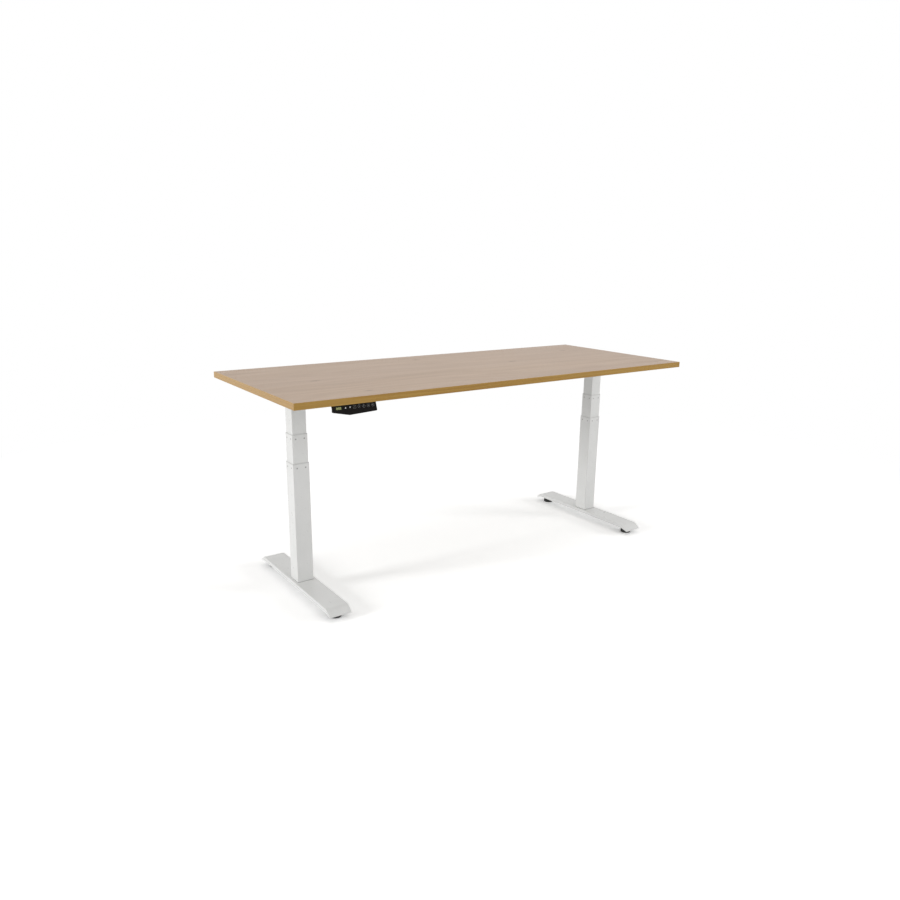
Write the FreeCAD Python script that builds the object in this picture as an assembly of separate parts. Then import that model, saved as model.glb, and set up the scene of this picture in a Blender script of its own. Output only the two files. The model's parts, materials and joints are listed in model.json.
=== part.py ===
import FreeCAD, Part
import math
import os

# Electric sit-stand desk, millimetres. The origin is on the floor under the middle of the tabletop,
# +X to the user's right, +Y away from the user and +Z up. The desk stands at its rest height.

V = FreeCAD.Vector
LEFT, RIGHT = -1, 1
SIDES = {"left": LEFT, "right": RIGHT}

# tabletop
REST_HEIGHT = 870.0
TOP_WIDTH = 2000.0
TOP_DEPTH = 800.0
TOP_THICK = 25.0
LAMINATE = 0.8
EDGE_BAND = 2.0
BAND_ROUNDING = 1.4
UNDERSIDE = REST_HEIGHT - TOP_THICK
TOP_SCREW_Y = (-285.0, -190.0, 190.0, 285.0)
TOP_SCREW_RADIUS = 2.5

# columns: three square tubes that slide in each other, and the plastic bush in the mouth of each
LEG_X = 820.0
TUBE_WALL = 1.5
OUTER_SIZE, OUTER_CORNER = 70.0, 3.0
MIDDLE_SIZE, MIDDLE_CORNER = 65.0, 2.5
INNER_SIZE, INNER_CORNER = 60.0, 2.0
BUSH_RIM = 3.0
BUSH_SKIRT = 30.0
SLIDE_GAP = 0.2
PEG_DROP = 15.0
PEG_OFFSET = 18.0
PEG_RADIUS = 3.0
OUTER_RIM_Z = 549.0
MIDDLE_RIM_Z = 667.0
MIDDLE_LENGTH = 487.0
BASE_PLATE = 8.0
FOOT_BOLTS = [(-22, -22), (22, -22), (-22, 22), (22, 22)]
M8_RADIUS = 4.0
M6_RADIUS = 3.0
HOLE_CLEARANCE = 0.05

# lift: a fixed screw, a nut that turns on it, and a hollow spindle keyed to that nut's sleeve
SCREW_RADIUS = 8.0
SCREW_TOP = 400.0
SCREW_SEAT_RADIUS = 6.0
THRUST_RADIUS = 17.0
SLEEVE_RADIUS = 9.5
SLEEVE_TOP = 555.0
SPINDLE_RADIUS = 12.0
SPINDLE_BORE = 9.7
NUT_TUBE_RADIUS = 17.0
NUT_TUBE_BORE = 15.1
NUT_TUBE_TOP = 515.0
NUT_LENGTH = 30.0
RUNNING_FIT = 0.1

# drive head on the inner tube
HEAD_SIZE = 74.0
HEAD_Z = 786.0
HEAD_SCREWS = [(-28, -28), (28, -28), (-28, 28), (28, 28)]
HEAD_SCREW_DEPTH = 18.0
WHEEL_RADIUS = 14.0
WHEEL_HALF = 6.0
WHEEL_TEETH = 28
JOURNAL_RADIUS = 8.0
JOURNAL_RISE = 20.0
WORM_RADIUS = 3.7
WORM_OFFSET = 18.0
WORM_Z = 805.0
MOTOR_RADIUS = 21.0
MOTOR_LENGTH = 120.0
INNER_LENGTH = 481.0

# feet and levelling glides
FOOT_LENGTH = 680.0
FOOT_MIDDLE_Y = -6.0
FOOT_WIDTH = 93.0
FOOT_TOP = 47.0
FOOT_SIDE_Z = 30.0
FOOT_WALL = 3.0
FOOT_CROWN = 1.0
NOSE_BEND = 35.0
NOSE_SLOPE = math.radians(40.0)
NOSE_STRAIGHT = 24.0
NOSE_START = FOOT_LENGTH / 2 - NOSE_BEND * math.sin(NOSE_SLOPE) - NOSE_STRAIGHT * math.cos(NOSE_SLOPE)
NOSE_BLEND = 30.0
FOOT_CORNER = 6.0
GLIDE_FRONT_Y, GLIDE_BACK_Y = FOOT_MIDDLE_Y - 291.0, FOOT_MIDDLE_Y + 291.0
STUD_RADIUS = 5.0
GLIDE_PROFILE = [(0, 0), (23, 0), (25, 2), (25, 12), (21, 17), (12, 20), (12, 29), (STUD_RADIUS, 29),
                 (STUD_RADIUS, 41), (STUD_RADIUS - 1, 42), (0, 42), (0, 0)]

# frame under the tabletop
ARM_WIDTH = 86.0
ARM_LENGTH = 620.0
ARM_HEIGHT = 30.0
ARM_WALL = 3.0
RAIL_Y = 90.0
RAIL_WIDTH, RAIL_HEIGHT, RAIL_LENGTH = 40.0, 20.0, 1280.0
BRACKET_WALL = 2.0
BRACKET_END_X = 520.0
BRACKET_PLATE = 4.0
BRACKET_BOLT_Y = 120.0
BRACKET_BOLT_Z = 828.0
LOCK_SCREW_X = (545.0, 610.0)

# control box under the middle of the tabletop
BOX_SIZE = (260.0, 116.0, 38.0)
BOX_WALL = 2.5
SOCKET_Y = (-36.0, -12.0, 12.0, 36.0)

# handset under the front edge, near the user's left hand
FACE_TOP_Y = -388.0
FACE_LEAN = math.atan2(10.0, 33.0)
FACE_ROW = 12.0
FACE_PLATE = 1.5
FACE_DEPTH = 39.0
HANDSET_LEFT, HANDSET_RIGHT = -857.0, -681.0
HANDSET_DEEPEST_X = -791.0
LEAD_SOCKET_X = (-786.0, -772.0)
HANDSET_DEPTH = 62.0
HANDSET_WALL = 2.0
HANDSET_TAPER_Y = -393.0
HANDSET_TAPER = 42.0
CORNER_ROUNDING = {2: 4.0, 3: 12.0, 4: 4.0}
KEY_PITCH = 18.0
KEY_FIRST_X = -804.0
KEY_RADIUS = 6.8
KEY_NAMES = ("up", "down", "1", "2", "3", "4", "m")
KEY_PROUD = 0.4
DISPLAY_X = -831.0
DISPLAY_WIDTH, DISPLAY_HEIGHT = 25.0, 13.0


def box(x0, x1, y0, y1, z0, z1):
    return Part.makeBox(x1 - x0, y1 - y0, z1 - z0, V(x0, y0, z0))


def post(radius, x, y, z0, z1):
    return Part.makeCylinder(radius, z1 - z0, V(x, y, z0), V(0, 0, 1))


def fuse(shapes):
    first = shapes[0]
    return first.multiFuse(shapes[1:]).removeSplitter() if len(shapes) > 1 else first


def cut(shape, tools):
    return shape.cut(Part.makeCompound(tools)) if tools else shape


def group(shapes):
    return Part.makeCompound(shapes)


def vertical_edges(shape):
    found = []
    for edge in shape.Edges:
        ends = [vertex.Point for vertex in edge.Vertexes]
        if len(ends) == 2 and abs(ends[0].x - ends[1].x) < 1e-6 and abs(ends[0].y - ends[1].y) < 1e-6:
            found.append(edge)
    return found


def bar(size_x, size_y, corner, x, y, z0, z1):
    """Upright bar with rounded corners, centred on x, y."""
    block = box(x - size_x / 2, x + size_x / 2, y - size_y / 2, y + size_y / 2, z0, z1)
    return block.makeFillet(corner, vertical_edges(block))


def square_tube(size, corner, x, z0, z1):
    outside = bar(size, size, corner, x, 0, z0, z1)
    bore = size - 2 * TUBE_WALL
    inside = bar(bore, bore, corner - TUBE_WALL, x, 0, z0 - 1, z1 + 1)
    return outside.cut(inside)


def peg_holes(size, x, z, radius, depth):
    """Two short round bars into each of the four faces of a square tube, flush with the faces."""
    pegs = []
    for offset in (-PEG_OFFSET, PEG_OFFSET):
        for sign in (-1, 1):
            face = sign * size / 2
            pegs.append(Part.makeCylinder(radius, depth, V(x + face, offset, z), V(-sign, 0, 0)))
            pegs.append(Part.makeCylinder(radius, depth, V(x + offset, face, z), V(0, -sign, 0)))
    return pegs


def outer_tube(side):
    x = side * LEG_X
    rim = OUTER_RIM_Z - BUSH_RIM
    tube = square_tube(OUTER_SIZE, OUTER_CORNER, x, FOOT_TOP, rim)
    tube = cut(tube, peg_holes(OUTER_SIZE, x, rim - PEG_DROP, PEG_RADIUS, TUBE_WALL + 0.5))
    bore = OUTER_SIZE - 2 * TUBE_WALL
    plate = bar(bore, bore, OUTER_CORNER - TUBE_WALL, x, 0, FOOT_TOP, FOOT_TOP + BASE_PLATE)
    low, high = FOOT_TOP - 1, FOOT_TOP + BASE_PLATE + 1
    holes = [post(M8_RADIUS + HOLE_CLEARANCE, x + dx, dy, low, high) for dx, dy in FOOT_BOLTS]
    holes.append(post(SCREW_SEAT_RADIUS + HOLE_CLEARANCE, x, 0, low, high))
    return fuse([tube, cut(plate, holes)])


def middle_tube(side):
    x = side * LEG_X
    rim = MIDDLE_RIM_Z - BUSH_RIM
    tube = square_tube(MIDDLE_SIZE, MIDDLE_CORNER, x, rim - MIDDLE_LENGTH, rim)
    return cut(tube, peg_holes(MIDDLE_SIZE, x, rim - PEG_DROP, PEG_RADIUS, TUBE_WALL + 0.5))


def inner_tube(side):
    return square_tube(INNER_SIZE, INNER_CORNER, side * LEG_X, HEAD_Z - INNER_LENGTH, HEAD_Z)


def guide_bush(side, size, corner, moving_size, moving_corner, rim_z):
    """Plastic bush in a tube's mouth: a rim on the tube's end, a thin skirt inside it and eight pegs."""
    x = side * LEG_X
    skirt_size = size - 2 * TUBE_WALL
    rim = bar(size, size, corner, x, 0, rim_z - BUSH_RIM, rim_z)
    skirt = bar(skirt_size, skirt_size, corner - TUBE_WALL, x, 0, rim_z - BUSH_RIM - BUSH_SKIRT, rim_z - 1)
    opening = moving_size + 2 * SLIDE_GAP
    hole = bar(opening, opening, moving_corner + SLIDE_GAP, x, 0, rim_z - 2 * BUSH_SKIRT, rim_z + 1)
    pegs = peg_holes(size, x, rim_z - PEG_DROP - BUSH_RIM, PEG_RADIUS, TUBE_WALL + SLIDE_GAP)
    return fuse([fuse([rim, skirt]).cut(hole)] + pegs)


def nose(drop, x, sign):
    """Bend and straight slope at one end of the foot's sheet, drop below its upper surface."""
    radius = NOSE_BEND - drop

    def on_bend(angle):
        y = FOOT_MIDDLE_Y + sign * (NOSE_START + radius * math.sin(angle))
        return V(x, y, FOOT_TOP - NOSE_BEND + radius * math.cos(angle))

    start, middle, end = on_bend(0), on_bend(NOSE_SLOPE / 2), on_bend(NOSE_SLOPE)
    tip = end + V(0, sign * math.cos(NOSE_SLOPE), -math.sin(NOSE_SLOPE)) * NOSE_STRAIGHT
    return [Part.Arc(start, middle, end).toShape(), Part.makeLine(end, tip)], start, tip


def foot_outline(drop, x):
    """Side outline of the foot's sheet, flat on top with a nose that slopes down at each end."""
    front_edges, front_start, front_tip = nose(drop, x, -1)
    back_edges, back_start, back_tip = nose(drop, x, 1)
    return front_edges + [Part.makeLine(front_start, back_start)] + back_edges, front_tip, back_tip


def foot_prism(drop, x0, x1, lower_points):
    """The outline closed along lower_points (y, z), from back to front, and extruded across the foot."""
    edges, front_tip, back_tip = foot_outline(drop, x0)
    chain = [back_tip] + [V(x0, y, z) for y, z in lower_points] + [front_tip]
    for start, end in zip(chain, chain[1:]):
        edges.append(Part.makeLine(start, end))
    wire = Part.Wire(Part.__sortEdges__(edges))
    return Part.Face(wire).extrude(V(x1 - x0, 0, 0))


def foot_hollow(x, gap):
    """The space under the foot's sheet, short of the sheet by gap."""
    front_tip, back_tip = foot_outline(FOOT_WALL + gap, x)[1:]
    half = FOOT_WIDTH / 2 - FOOT_WALL - gap
    return foot_prism(FOOT_WALL + gap, x - half, x + half, [(back_tip.y, 0), (front_tip.y, 0)])


def foot(side):
    x = side * LEG_X
    half_width = FOOT_WIDTH / 2
    front_tip, back_tip = foot_outline(FOOT_WALL, x)[1:]
    lower = [(back_tip.y, back_tip.z), (back_tip.y - NOSE_BLEND, FOOT_SIDE_Z),
             (front_tip.y + NOSE_BLEND, FOOT_SIDE_Z), (front_tip.y, front_tip.z)]
    skin = foot_prism(0, x - half_width, x + half_width, lower)
    skin = skin.common(bar(FOOT_WIDTH, FOOT_LENGTH, FOOT_CORNER, x, FOOT_MIDDLE_Y, 0, FOOT_TOP + 1))
    crown_edges = []
    for edge in skin.Edges:
        middle = edge.valueAt((edge.FirstParameter + edge.LastParameter) / 2)
        on_side = abs(abs(middle.x - x) - half_width) < 1e-3
        if on_side and middle.z > FOOT_SIDE_Z + 2 and edge.Length > 20:
            crown_edges.append(edge)
    skin = skin.makeFillet(FOOT_CROWN, crown_edges)
    holes = [post(M8_RADIUS + 0.5, x + dx, dy, FOOT_TOP - 10, FOOT_TOP + 1) for dx, dy in FOOT_BOLTS]
    return cut(skin.cut(foot_hollow(x, 0)), holes)


def hexagon(across_flats, x, y, z0, z1):
    radius = across_flats / math.sqrt(3)
    corners = []
    for k in range(7):
        angle = math.radians(60 * k)
        corners.append(V(x + radius * math.cos(angle), y + radius * math.sin(angle), z0))
    return Part.Face(Part.makePolygon(corners)).extrude(V(0, 0, z1 - z0))


def foot_bolts():
    """M8 hexagon bolts from inside each foot up into the column's base plate."""
    under = FOOT_TOP - FOOT_WALL
    bolts = []
    for side in SIDES.values():
        for dx, dy in FOOT_BOLTS:
            x = side * LEG_X + dx
            head = hexagon(13, x, dy, under - 5.3, under)
            bolts.append(fuse([head, post(M8_RADIUS, x, dy, under - 1, FOOT_TOP + BASE_PLATE)]))
    return group(bolts)


def glide_nuts():
    """Weld nuts under the foot's sheet, where the levelling glides screw in."""
    under = FOOT_TOP - FOOT_WALL
    nuts = []
    for side in SIDES.values():
        x = side * LEG_X
        for y in (GLIDE_FRONT_Y, GLIDE_BACK_Y):
            bore = post(STUD_RADIUS + RUNNING_FIT, x, y, under - 20, under + 1)
            nuts.append(hexagon(17, x, y, under - 12, under).cut(bore).common(foot_hollow(x, 0.02)))
    return group(nuts)


def glide(side, front):
    """Levelling glide: a black round pad moulded on a threaded stud."""
    x, y = side * LEG_X, GLIDE_FRONT_Y if front < 0 else GLIDE_BACK_Y
    points = [V(x + r, y, z) for r, z in GLIDE_PROFILE]
    return Part.Face(Part.makePolygon(points)).revolve(V(x, y, 0), V(0, 0, 1), 360)


def lift_screw(side):
    """Screw that stands still on the column's base plate."""
    x = side * LEG_X
    base = FOOT_TOP + BASE_PLATE
    parts = [post(SCREW_SEAT_RADIUS, x, 0, base - 6, base), post(THRUST_RADIUS, x, 0, base, base + 4)]
    parts.append(post(SCREW_RADIUS, x, 0, base, SCREW_TOP - 2))
    parts.append(Part.makeCone(SCREW_RADIUS, SCREW_RADIUS - 2, 2, V(x, 0, SCREW_TOP - 2), V(0, 0, 1)))
    return fuse(parts)


def nut_tube(side):
    """End plate of the middle tube with the tube on it that carries the upper nut."""
    x = side * LEG_X
    low = MIDDLE_RIM_Z - BUSH_RIM - MIDDLE_LENGTH
    bore = MIDDLE_SIZE - 2 * TUBE_WALL
    plate = bar(bore, bore, MIDDLE_CORNER - TUBE_WALL, x, 0, low, low + BASE_PLATE)
    body = fuse([plate, post(NUT_TUBE_RADIUS, x, 0, low, NUT_TUBE_TOP)])
    return body.cut(post(NUT_TUBE_BORE, x, 0, low - 1, NUT_TUBE_TOP + 1))


def upper_nut(side):
    x = side * LEG_X
    collar = post(NUT_TUBE_RADIUS, x, 0, NUT_TUBE_TOP, NUT_TUBE_TOP + NUT_LENGTH)
    spigot = post(NUT_TUBE_BORE, x, 0, NUT_TUBE_TOP - 10, NUT_TUBE_TOP)
    bore = post(SPINDLE_RADIUS + RUNNING_FIT, x, 0, NUT_TUBE_TOP - 20, NUT_TUBE_TOP + NUT_LENGTH + 1)
    return fuse([collar, spigot]).cut(bore)


def drive_sleeve(side):
    """Lower nut with its thrust lip, and the sleeve on it that the hollow spindle turns."""
    x = side * LEG_X
    low = MIDDLE_RIM_Z - BUSH_RIM - MIDDLE_LENGTH
    nut = post(NUT_TUBE_BORE - RUNNING_FIT, x, 0, low, low + 10)
    lip = post(NUT_TUBE_RADIUS + 2, x, 0, low - 1.4, low)
    sleeve = post(SLEEVE_RADIUS, x, 0, low, SLEEVE_TOP)
    return fuse([nut, lip, sleeve]).cut(post(SCREW_RADIUS + RUNNING_FIT, x, 0, low - 5, SLEEVE_TOP + 1))


def spindle(side):
    """Hollow spindle with the worm wheel and the top journal on it."""
    x = side * LEG_X
    low = HEAD_Z - INNER_LENGTH
    tube = post(SPINDLE_RADIUS, x, 0, low, WORM_Z - WHEEL_HALF)
    bore = post(SPINDLE_BORE, x, 0, low - 1, WORM_Z - 15)
    wheel = post(WHEEL_RADIUS, x, 0, WORM_Z - WHEEL_HALF, WORM_Z + WHEEL_HALF)
    gaps = []
    for k in range(WHEEL_TEETH):
        angle = 2 * math.pi * k / WHEEL_TEETH
        gap_x, gap_y = x + WHEEL_RADIUS * math.cos(angle), WHEEL_RADIUS * math.sin(angle)
        gaps.append(post(0.8, gap_x, gap_y, WORM_Z - WHEEL_HALF - 1, WORM_Z + WHEEL_HALF + 1))
    journal = post(JOURNAL_RADIUS, x, 0, WORM_Z + WHEEL_HALF, WORM_Z + JOURNAL_RISE)
    return fuse([tube.cut(bore), wheel.cut(group(gaps)), journal])


def worm_x(side):
    return side * (LEG_X - WORM_OFFSET)


def gearbox(side):
    """Die-cast head on the inner tube that carries the worm wheel and the motor."""
    x = side * LEG_X
    under_arm = UNDERSIDE - ARM_WALL
    bore = INNER_SIZE - 2 * TUBE_WALL
    block = bar(HEAD_SIZE, HEAD_SIZE, 5, x, 0, HEAD_Z, under_arm)
    spigot = bar(bore, bore, INNER_CORNER - TUBE_WALL, x, 0, HEAD_Z - 10, HEAD_Z)
    pocket = WHEEL_HALF + 1
    tools = [post(SPINDLE_RADIUS + RUNNING_FIT, x, 0, HEAD_Z - 11, WORM_Z - pocket)]
    tools.append(post(WHEEL_RADIUS + 1, x, 0, WORM_Z - pocket, WORM_Z + pocket))
    tools.append(post(JOURNAL_RADIUS + RUNNING_FIT, x, 0, WORM_Z + pocket, WORM_Z + JOURNAL_RISE + 1))
    worm_start = V(worm_x(side), -30, WORM_Z)
    tools.append(Part.makeCylinder(WORM_RADIUS + 0.5, 30 + HEAD_SIZE / 2, worm_start, V(0, 1, 0)))
    for dx, dy in HEAD_SCREWS:
        tools.append(post(M6_RADIUS + 0.02, x + dx, dy, under_arm - HEAD_SCREW_DEPTH, under_arm + 1))
    return cut(fuse([block, spigot]), tools)


def motor(side):
    """Geared motor with its worm shaft, lying under the arm behind the gearbox."""
    x = worm_x(side)
    start = HEAD_SIZE / 2
    along = V(0, 1, 0)
    can = Part.makeCylinder(MOTOR_RADIUS, MOTOR_LENGTH, V(x, start, WORM_Z), along)
    far = start + MOTOR_LENGTH
    can = can.makeFillet(2.5, [edge for edge in can.Edges if abs(edge.CenterOfMass.y - far) < 1e-6])
    boss = Part.makeCylinder(7, 6, V(x, far - 1, WORM_Z), along)
    worm = Part.makeCylinder(WORM_RADIUS, start + 28, V(x, -28, WORM_Z), along)
    ribs = []
    for k in range(4):
        y = start + 18 + k * 26
        ring = Part.makeCylinder(MOTOR_RADIUS + 1, 1.5, V(x, y, WORM_Z), along)
        ribs.append(ring.cut(Part.makeCylinder(MOTOR_RADIUS - 0.7, 3, V(x, y - 1, WORM_Z), along)))
    return can.cut(group(ribs)).multiFuse([boss, worm])


def side_arm(side):
    """Inverted channel across the desk's depth, tapered at its ends, that carries the tabletop."""
    x = side * LEG_X
    half, half_length = ARM_WIDTH / 2, ARM_LENGTH / 2
    low = UNDERSIDE - ARM_HEIGHT
    taper_y, tip_z = 200.0, UNDERSIDE - 12
    outline = [(-half_length, UNDERSIDE), (half_length, UNDERSIDE), (half_length, tip_z), (taper_y, low),
               (-taper_y, low), (-half_length, tip_z), (-half_length, UNDERSIDE)]
    face = Part.Face(Part.makePolygon([V(x - half, y, z) for y, z in outline]))
    body = face.extrude(V(ARM_WIDTH, 0, 0))
    inside = box(x - half + ARM_WALL, x + half - ARM_WALL, -half_length - 1, half_length + 1, low - 1,
                 UNDERSIDE - ARM_WALL)
    tools = [inside]
    for dx, dy in HEAD_SCREWS:
        top = V(x + dx, dy, UNDERSIDE)
        tools.append(Part.makeCone(6, M6_RADIUS + HOLE_CLEARANCE, ARM_WALL, top, V(0, 0, -1)))
    for y in TOP_SCREW_Y:
        tools.append(post(TOP_SCREW_RADIUS + 0.3, x, y, UNDERSIDE - 5, UNDERSIDE + 1))
    for y in (-BRACKET_BOLT_Y, BRACKET_BOLT_Y):
        start = V(x - side * (half - ARM_WALL - 1), y, BRACKET_BOLT_Z)
        tools.append(Part.makeCylinder(M6_RADIUS + HOLE_CLEARANCE, ARM_WALL + 2, start, V(-side, 0, 0)))
    return cut(body, tools)


def head_screws():
    """M6 countersunk screws through each arm into the gearbox below it."""
    screws = []
    for side in SIDES.values():
        for dx, dy in HEAD_SCREWS:
            x = side * LEG_X + dx
            head = Part.makeCone(5.9, M6_RADIUS, ARM_WALL - 0.1, V(x, dy, UNDERSIDE - 0.1), V(0, 0, -1))
            low = UNDERSIDE - ARM_WALL - HEAD_SCREW_DEPTH + 2
            shank = post(M6_RADIUS, x, dy, low, UNDERSIDE - ARM_WALL)
            screws.append(fuse([head, shank]))
    return group(screws)


def rail_bracket(side):
    """Plate on the arm's inner flange with the two short sleeves that the rails slide into."""
    flange_x = LEG_X - ARM_WIDTH / 2
    plate_x = flange_x - BRACKET_PLATE
    plate = box(plate_x, flange_x, -135, 135, UNDERSIDE - ARM_HEIGHT, UNDERSIDE)
    parts, tools = [plate], []
    half_width = RAIL_WIDTH / 2 + BRACKET_WALL + 0.5
    low = UNDERSIDE - RAIL_HEIGHT - 2 * BRACKET_WALL - 1
    for y in (-RAIL_Y, RAIL_Y):
        parts.append(box(BRACKET_END_X, plate_x, y - half_width, y + half_width, low, UNDERSIDE))
        bore = half_width - BRACKET_WALL
        tools.append(box(BRACKET_END_X - 1, plate_x, y - bore, y + bore, low + BRACKET_WALL,
                         UNDERSIDE - BRACKET_WALL))
        for x in LOCK_SCREW_X:
            tools.append(post(M6_RADIUS + HOLE_CLEARANCE, x, y, low - 1, low + BRACKET_WALL + 0.5))
    for y in (-BRACKET_BOLT_Y, BRACKET_BOLT_Y):
        start = V(plate_x - 1, y, BRACKET_BOLT_Z)
        tools.append(Part.makeCylinder(M6_RADIUS + HOLE_CLEARANCE, BRACKET_PLATE + 2, start, V(1, 0, 0)))
    bracket = cut(fuse(parts), tools)
    return bracket if side == RIGHT else bracket.mirror(V(0, 0, 0), V(1, 0, 0))


def frame_bolts():
    """M6 hexagon bolts: two lock each rail end in its sleeve, two hold each bracket to its arm."""
    low = UNDERSIDE - RAIL_HEIGHT - 2 * BRACKET_WALL - 1
    upright = fuse([hexagon(10, 0, 0, -4, 0), post(M6_RADIUS, 0, 0, -1, 2)])
    cross = fuse([hexagon(10, 0, 0, -4, 0), post(M6_RADIUS, 0, 0, -1, BRACKET_PLATE + ARM_WALL + 1.5)])
    bolts = []
    for side in SIDES.values():
        for y in (-RAIL_Y, RAIL_Y):
            for x in LOCK_SCREW_X:
                bolt = upright.copy()
                bolt.translate(V(side * x, y, low))
                bolts.append(bolt)
        for y in (-BRACKET_BOLT_Y, BRACKET_BOLT_Y):
            bolt = cross.copy()
            bolt.rotate(V(0, 0, 0), V(0, 1, 0), side * 90)
            bolt.translate(V(side * (LEG_X - ARM_WIDTH / 2 - BRACKET_PLATE), y, BRACKET_BOLT_Z))
            bolts.append(bolt)
    return group(bolts)


def rail(y):
    low = UNDERSIDE - RAIL_HEIGHT - BRACKET_WALL - 1
    half, half_length = RAIL_WIDTH / 2, RAIL_LENGTH / 2
    solid = box(-half_length, half_length, y - half, y + half, low, low + RAIL_HEIGHT)
    along = [edge for edge in solid.Edges if edge.Length > RAIL_LENGTH - 1]
    solid = solid.makeFillet(2, along)
    hollow = box(-half_length - 1, half_length + 1, y - half + 1.5, y + half - 1.5, low + 1.5,
                 low + RAIL_HEIGHT - 1.5)
    return solid.cut(hollow)


def tabletop_core():
    half_x, half_y = TOP_WIDTH / 2 - EDGE_BAND, TOP_DEPTH / 2 - EDGE_BAND
    core = box(-half_x, half_x, -half_y, half_y, UNDERSIDE + LAMINATE, REST_HEIGHT - LAMINATE)
    holes = [post(TOP_SCREW_RADIUS, x, y, UNDERSIDE, UNDERSIDE + 19) for x, y in top_screw_spots()]
    return cut(core, holes)


def tabletop_laminate():
    half_x, half_y = TOP_WIDTH / 2 - EDGE_BAND, TOP_DEPTH / 2 - EDGE_BAND
    return box(-half_x, half_x, -half_y, half_y, REST_HEIGHT - LAMINATE, REST_HEIGHT)


def tabletop_backer():
    half_x, half_y = TOP_WIDTH / 2 - EDGE_BAND, TOP_DEPTH / 2 - EDGE_BAND
    sheet = box(-half_x, half_x, -half_y, half_y, UNDERSIDE, UNDERSIDE + LAMINATE)
    radius = TOP_SCREW_RADIUS + HOLE_CLEARANCE
    return cut(sheet, [post(radius, x, y, UNDERSIDE - 1, UNDERSIDE + 2) for x, y in top_screw_spots()])


def edge_band():
    """Four strips glued round the board, rounded outside: two along its length, two across its ends."""
    half_x, half_y = TOP_WIDTH / 2, TOP_DEPTH / 2
    inner_x, inner_y = half_x - EDGE_BAND, half_y - EDGE_BAND
    board = box(-half_x, half_x, -half_y, half_y, UNDERSIDE, REST_HEIGHT)
    board = board.makeFillet(BAND_ROUNDING, board.Edges)
    low, high = UNDERSIDE - 1, REST_HEIGHT + 1
    strips = []
    for sign in (-1, 1):
        y0, y1 = sorted((sign * (half_y + 1), sign * inner_y))
        x0, x1 = sorted((sign * (half_x + 1), sign * inner_x))
        strips.append(board.common(box(-half_x - 1, half_x + 1, y0, y1, low, high)))
        strips.append(board.common(box(x0, x1, -inner_y, inner_y, low, high)))
    return group(strips)


def top_screw_spots():
    return [(side * LEG_X, y) for side in SIDES.values() for y in TOP_SCREW_Y]


def wood_screw(x, y, bearing_z, length):
    """Pan-head screw with a cross recess, driven up into the board."""
    low = bearing_z - 2.6
    head = post(5, x, y, low, bearing_z)
    head = head.makeFillet(1.2, [edge for edge in head.Edges if abs(edge.CenterOfMass.z - low) < 1e-6])
    shank = post(TOP_SCREW_RADIUS, x, y, bearing_z - 1, bearing_z + length)
    cross = [box(x - 2.4, x + 2.4, y - 0.5, y + 0.5, low - 1, low + 1.4),
             box(x - 0.5, x + 0.5, y - 2.4, y + 2.4, low - 1, low + 1.4)]
    return cut(fuse([head, shank]), cross)


def tabletop_screws():
    return group([wood_screw(x, y, UNDERSIDE - ARM_WALL, 20) for x, y in top_screw_spots()])


def control_box_case():
    """Plastic tray that hangs under the tabletop, open where its sockets are."""
    length, depth, height = BOX_SIZE
    low = UNDERSIDE - height
    case = bar(length, depth, 6, 0, 0, low, UNDERSIDE - 3)
    inside = bar(length - 2 * BOX_WALL, depth - 2 * BOX_WALL, 4, 0, 0, low + BOX_WALL, UNDERSIDE)
    tools = [inside, box(length / 2 - 5, length / 2 + 1, -14, 14, low + 6, low + 27)]
    for y in SOCKET_Y:
        tools.append(box(-length / 2 - 1, -length / 2 + 5, y - 7, y + 7, low + 9, low + 20))
    vents = [box(x - 1.5, x + 1.5, -30, 30, low - 1, low + BOX_WALL + 1) for x in range(-60, 61, 12)]
    return cut(case, tools + vents)


def control_box_cover():
    """Steel plate that closes the tray and screws it to the tabletop with its two ears."""
    length, depth, height = BOX_SIZE
    plate = bar(length + 36, depth - 20, 6, 0, 0, UNDERSIDE - 1.5, UNDERSIDE)
    body = bar(length, depth, 6, 0, 0, UNDERSIDE - 3, UNDERSIDE - 1.5)
    return cut(fuse([plate, body]), [post(2.5, x, 0, UNDERSIDE - 5, UNDERSIDE + 1) for x in (-139, 139)])


def control_board():
    length, depth, height = BOX_SIZE
    low = UNDERSIDE - height + BOX_WALL
    parts = [box(-112, 108, -48, 48, low + 4, low + 5.6)]
    for x in (-90, 0, 90):
        for y in (-40, 40):
            parts.append(post(3, x, y, low, low + 4.1))
    parts.append(box(40, 84, -22, 22, low + 5.5, low + 27))
    for x, y, radius, tall in ((20, -20, 8, 26), (20, 20, 8, 26), (-8, 0, 6, 20)):
        parts.append(post(radius, x, y, low + 5.5, low + tall))
    for x in (-60, -45, -30):
        parts.append(box(x, x + 5, -40, 40, low + 5.5, low + 22))
    for y in SOCKET_Y:
        parts.append(box(-length / 2 + BOX_WALL, -96, y - 6.5, y + 6.5, low + 5.5, low + 17))
    return fuse(parts)


def mains_inlet():
    """Three-pin mains inlet in the right end of the control box."""
    length, depth, height = BOX_SIZE
    x, low = length / 2, UNDERSIDE - height + 6
    body = box(x - 20, x, -14, 14, low, low + 21)
    flange = box(x, x + 1.5, -16, 16, low - 1.5, low + 22.5)
    recess = box(x - 15, x + 3, -12, 12, low + 3, low + 18)
    spots = ((-7, low + 8), (0, low + 10), (7, low + 8))
    pins = [box(x - 16, x - 3, y - 1, y + 1, z, z + 4) for y, z in spots]
    return fuse([fuse([body, flange]).cut(recess)] + pins)


def on_face(shape):
    """Puts a shape on the handset's face: built with x along the desk, y up the face and z outward."""
    turn = FreeCAD.Rotation(V(1, 0, 0), 90 - math.degrees(FACE_LEAN))
    shape.Placement = FreeCAD.Placement(V(0, FACE_TOP_Y, UNDERSIDE), turn)
    return shape


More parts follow.
